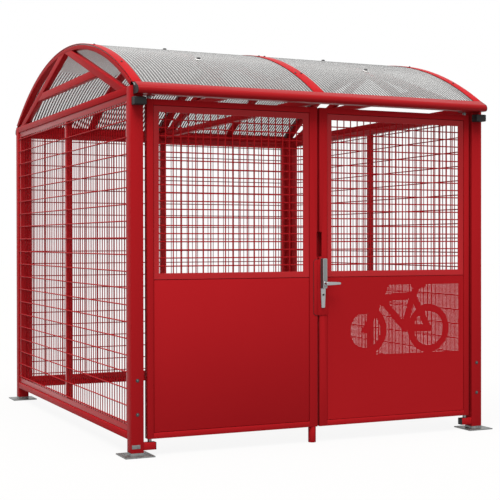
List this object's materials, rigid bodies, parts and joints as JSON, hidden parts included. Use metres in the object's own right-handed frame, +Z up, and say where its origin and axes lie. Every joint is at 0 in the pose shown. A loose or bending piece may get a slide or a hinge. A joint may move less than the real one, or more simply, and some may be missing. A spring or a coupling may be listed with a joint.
{
  "type": "bicycle shelter",
  "caption": "Steel bicycle shelter with a barrel roof of translucent sheet, wire net walls, and a double door with net windows, sheet panels, lever lock and drop bolt.",
  "frame": {"origin": "ground level at the middle of the footprint", "axes": "+X to the right along the front, +Y from the doors to the rear wall, +Z up"},
  "size_m": [2.67, 3.112, 2.7],
  "materials": {
    "red_paint": "gloss powder coat",
    "net_paint": "gloss powder coat",
    "roof_sheet": "translucent twin-wall sheet",
    "zinc_steel": "galvanised",
    "dark_steel": "blackened",
    "black_plastic": "matt",
    "satin_metal": "satin",
    "lock_metal": "nickel"
  },
  "bodies": {
    "frame": {"base_plates": "zinc_steel", "post_front_left": "red_paint", "post_front_right": "red_paint", "post_rear_left": "red_paint", "post_rear_right": "red_paint", "bottom_rails": "red_paint", "eaves_rail": "red_paint", "panel_frame_left": "red_paint", "panel_frame_right": "red_paint", "panel_frame_rear": "red_paint", "panel_net_left": "net_paint", "panel_net_right": "net_paint", "panel_net_rear": "net_paint", "truss_left": "red_paint", "truss_middle": "red_paint", "truss_right": "red_paint", "bay_ribs": "red_paint", "roof_sheet_left": "roof_sheet", "roof_sheet_right": "roof_sheet", "cover_strip_left": "red_paint", "cover_strip_middle": "red_paint", "cover_strip_right": "red_paint", "strip_screws": "dark_steel", "sheet_screws": "zinc_steel", "gutter_front": "red_paint", "gutter_rear": "red_paint", "gutter_end_caps": "black_plastic", "pivot_stubs": "red_paint", "pivot_pins": "zinc_steel", "stub_caps": "black_plastic", "door_stops": "black_plastic", "foot_keeper": "red_paint"},
    "leaf_left": {"leaf_left_frame": "red_paint", "leaf_left_bead": "red_paint", "leaf_left_net": "net_paint", "leaf_left_panel": "red_paint", "leaf_left_bushes": "zinc_steel", "strike_plate": "red_paint", "drop_bolt_guides": "zinc_steel"},
    "drop_bolt": {"drop_bolt": "zinc_steel"},
    "leaf_right": {"leaf_right_frame": "red_paint", "leaf_right_bead": "red_paint", "leaf_right_net": "net_paint", "leaf_right_panel": "red_paint", "leaf_right_bushes": "zinc_steel", "cover_plate": "red_paint", "lock_case": "zinc_steel", "lock_plate_outer": "satin_metal", "lock_plate_inner": "satin_metal", "lock_cylinder": "lock_metal"},
    "levers": {"lever_outer": "satin_metal", "lever_inner": "satin_metal", "lever_spindle": "zinc_steel"},
    "latch": {"latch_bolt": "zinc_steel"},
    "deadbolt": {"deadbolt": "zinc_steel"},
    "key_plug": {"key_plug": "lock_metal"}
  },
  "joints": [
    {"name": "leaf_left_swing", "type": "hinge", "parent": "frame", "child": "leaf_left", "pos_m": [-1.155, -1.44, 0], "axis": [0, 0, -1], "range_deg": [0, 100]},
    {"name": "leaf_right_swing", "type": "hinge", "parent": "frame", "child": "leaf_right", "pos_m": [1.155, -1.44, 0], "axis": [0, 0, 1], "range_deg": [0, 100]},
    {"name": "lever_lift", "type": "hinge", "parent": "leaf_right", "child": "levers", "pos_m": [0.029, -1.44, 1.032], "axis": [0, -1, 0], "range_deg": [0, 45]},
    {"name": "latch_throw", "type": "slide", "parent": "leaf_right", "child": "latch", "axis": [-1, 0, 0], "range_m": [0, 0.022]},
    {"name": "key_turn", "type": "hinge", "parent": "leaf_right", "child": "key_plug", "pos_m": [0.029, -1.47, 0.958], "axis": [0, 1, 0], "range_deg": [0, 90]},
    {"name": "deadbolt_throw", "type": "slide", "parent": "leaf_right", "child": "deadbolt", "axis": [-1, 0, 0], "range_m": [0, 0.022]},
    {"name": "drop_bolt_slide", "type": "slide", "parent": "leaf_left", "child": "drop_bolt", "axis": [0, 0, -1], "range_m": [0, 0.06]}
  ],
  "couplings": [
    {"joint": "latch_throw", "follows": "lever_lift", "m_per_rad": 0.028},
    {"joint": "key_turn", "follows": "deadbolt_throw", "rad_per_m": 71.39}
  ]
}
